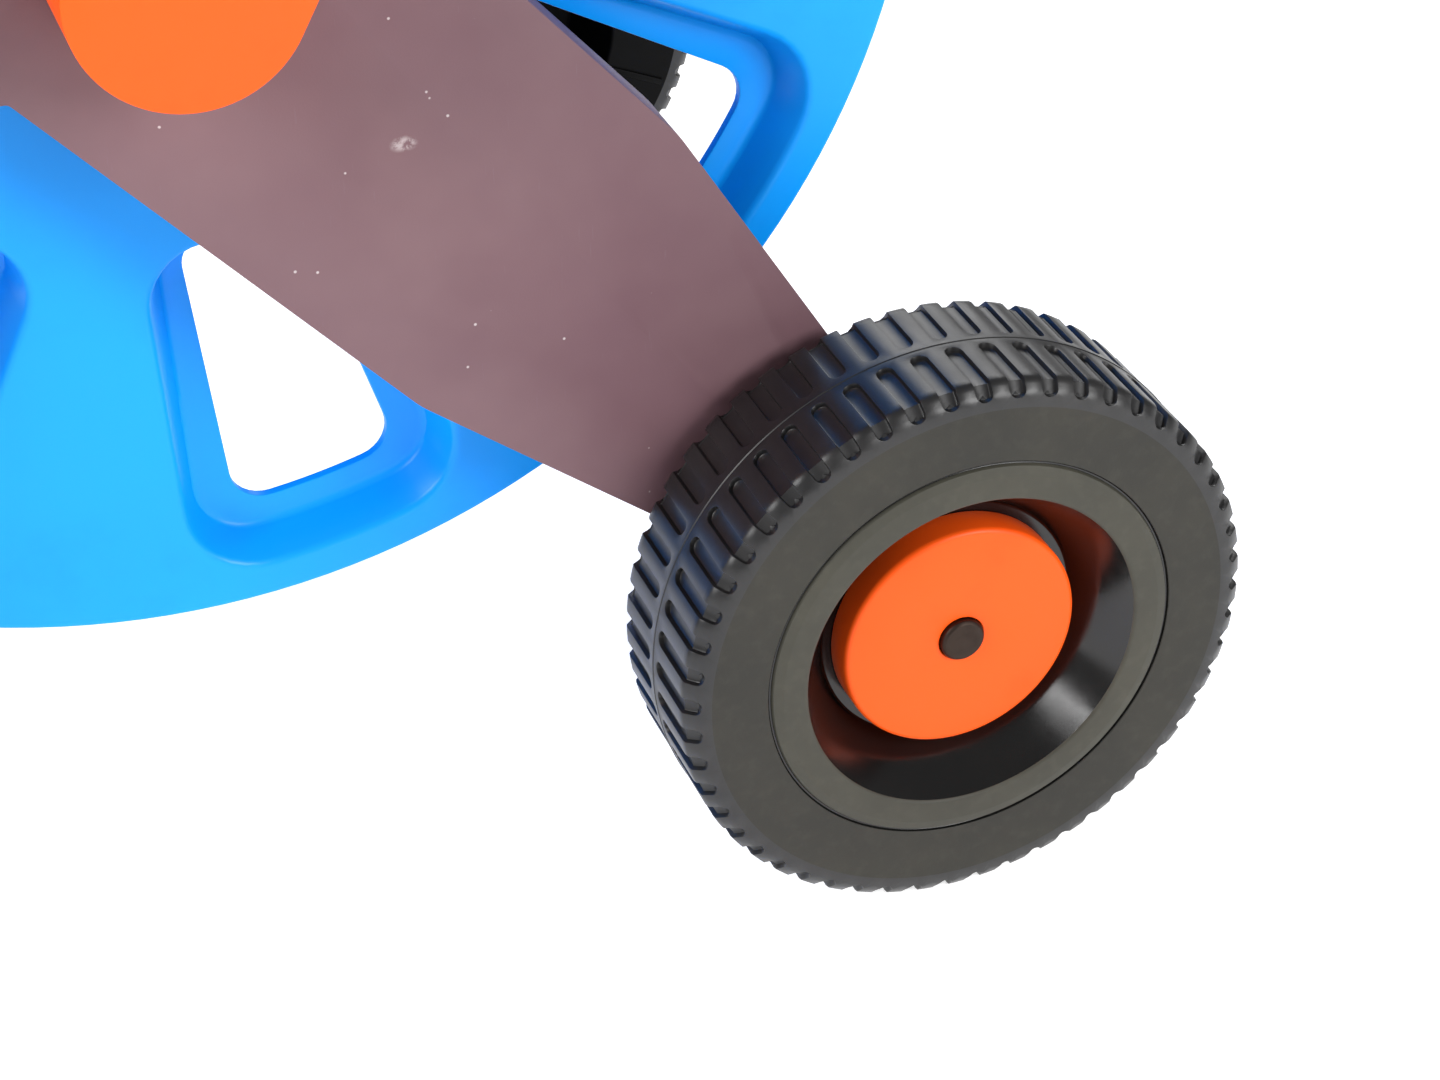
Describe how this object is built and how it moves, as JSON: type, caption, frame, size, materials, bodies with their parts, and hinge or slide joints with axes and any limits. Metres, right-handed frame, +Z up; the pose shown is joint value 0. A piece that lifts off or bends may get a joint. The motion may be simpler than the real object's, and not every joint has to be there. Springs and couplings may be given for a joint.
{
  "type": "garden hose reel cart",
  "caption": "Two-wheeled garden hose reel cart with a crank-turned drum between windowed flanges, moulded side legs and a telescopic U handle.",
  "frame": {"origin": "on the ground, under the middle of the cart's bounding box", "axes": "+X to the rear, where the wheels are; +Y to the far side, where the water inlet is; the crank is on -Y; +Z up"},
  "size_m": [0.4646, 0.508, 0.8999],
  "materials": {
    "frame_plastic": "matte, fine grain",
    "reel_plastic": "satin moulded",
    "orange_plastic": "satin moulded",
    "wheel_plastic": "semi-matte blow-moulded",
    "bush_plastic": "moulded",
    "collar_plastic": "moulded",
    "tube_paint": "powder coat",
    "bow_paint": "powder coat",
    "axle_steel": "zinc plated",
    "cap_steel": "blackened steel",
    "screw_steel": "zinc plated",
    "foot_rubber": "moulded",
    "grip_rubber": "soft rubber",
    "grip_plastic": "moulded"
  },
  "bodies": {
    "frame": {"side_panel_near": "frame_plastic", "side_panel_far": "frame_plastic", "hub_bush_near": "bush_plastic", "hub_bush_far": "bush_plastic", "axle_spacer_near": "bush_plastic", "axle_spacer_far": "bush_plastic", "axle_cap_near": "cap_steel", "axle_cap_far": "cap_steel", "cross_tube_plug_near": "bush_plastic", "cross_tube_plug_far": "bush_plastic", "cross_tube_screw_near": "screw_steel", "cross_tube_screw_far": "screw_steel", "foot_pad_near": "foot_rubber", "foot_pad_far": "foot_rubber", "handle_socket_tube_near": "tube_paint", "handle_socket_tube_far": "tube_paint", "handle_collar_near": "collar_plastic", "handle_collar_far": "collar_plastic", "socket_screw_near": "screw_steel", "socket_screw_far": "screw_steel", "axle_rod": "axle_steel", "axle_tube": "tube_paint", "front_cross_tube": "tube_paint"},
    "reel": {"reel_flange_near": "reel_plastic", "reel_flange_far": "reel_plastic", "drum_core": "reel_plastic", "flange_screws_near": "screw_steel", "flange_screws_far": "screw_steel", "crank_shaft": "bush_plastic", "crank_arm": "orange_plastic", "grip_pin": "axle_steel", "inlet_shaft": "bush_plastic", "drum_elbow": "bush_plastic", "hose_connector": "orange_plastic"},
    "grip": {"crank_grip": "grip_plastic", "grip_cap": "orange_plastic"},
    "wheel_near": {"wheel_near": "wheel_plastic", "hub_disc_near": "orange_plastic"},
    "wheel_far": {"wheel_far": "wheel_plastic", "hub_disc_far": "orange_plastic"},
    "handle": {"handle_bow": "bow_paint", "handle_grip": "grip_rubber"},
    "knob_near": {"clamp_knob_near": "orange_plastic", "clamp_stud_near": "axle_steel"},
    "knob_far": {"clamp_knob_far": "orange_plastic", "clamp_stud_far": "axle_steel"},
    "inlet": {"inlet_elbow": "bush_plastic", "inlet_clip": "axle_steel"}
  },
  "joints": [
    {"name": "reel_spin", "type": "hinge", "parent": "frame", "child": "reel", "pos_m": [-0.02565, 0.02625, 0.2803], "axis": [0, 1, 0], "continuous": true},
    {"name": "grip_spin", "type": "hinge", "parent": "reel", "child": "grip", "pos_m": [0.03698, -0.21575, 0.37675], "axis": [0, 1, 0], "continuous": true},
    {"name": "wheel_near_spin", "type": "hinge", "parent": "frame", "child": "wheel_near", "pos_m": [0.15375, -0.17675, 0.0785], "axis": [0, 1, 0], "continuous": true},
    {"name": "wheel_far_spin", "type": "hinge", "parent": "frame", "child": "wheel_far", "pos_m": [0.15375, 0.22925, 0.0785], "axis": [0, 1, 0], "continuous": true},
    {"name": "handle_slide", "type": "slide", "parent": "frame", "child": "handle", "axis": [-0.3584, 0, -0.9336], "range_m": [0, 0.16]},
    {"name": "knob_near_turn", "type": "hinge", "parent": "frame", "child": "knob_near", "pos_m": [0.11483, -0.1405, 0.64626], "axis": [0.9336, 0, -0.3584], "range_deg": [0, 270]},
    {"name": "knob_far_turn", "type": "hinge", "parent": "frame", "child": "knob_far", "pos_m": [0.11483, 0.193, 0.64626], "axis": [0.9336, 0, -0.3584], "range_deg": [0, 270]},
    {"name": "inlet_swivel", "type": "hinge", "parent": "frame", "child": "inlet", "pos_m": [-0.02565, 0.2185, 0.2803], "axis": [0, 1, 0], "continuous": true}
  ]
}
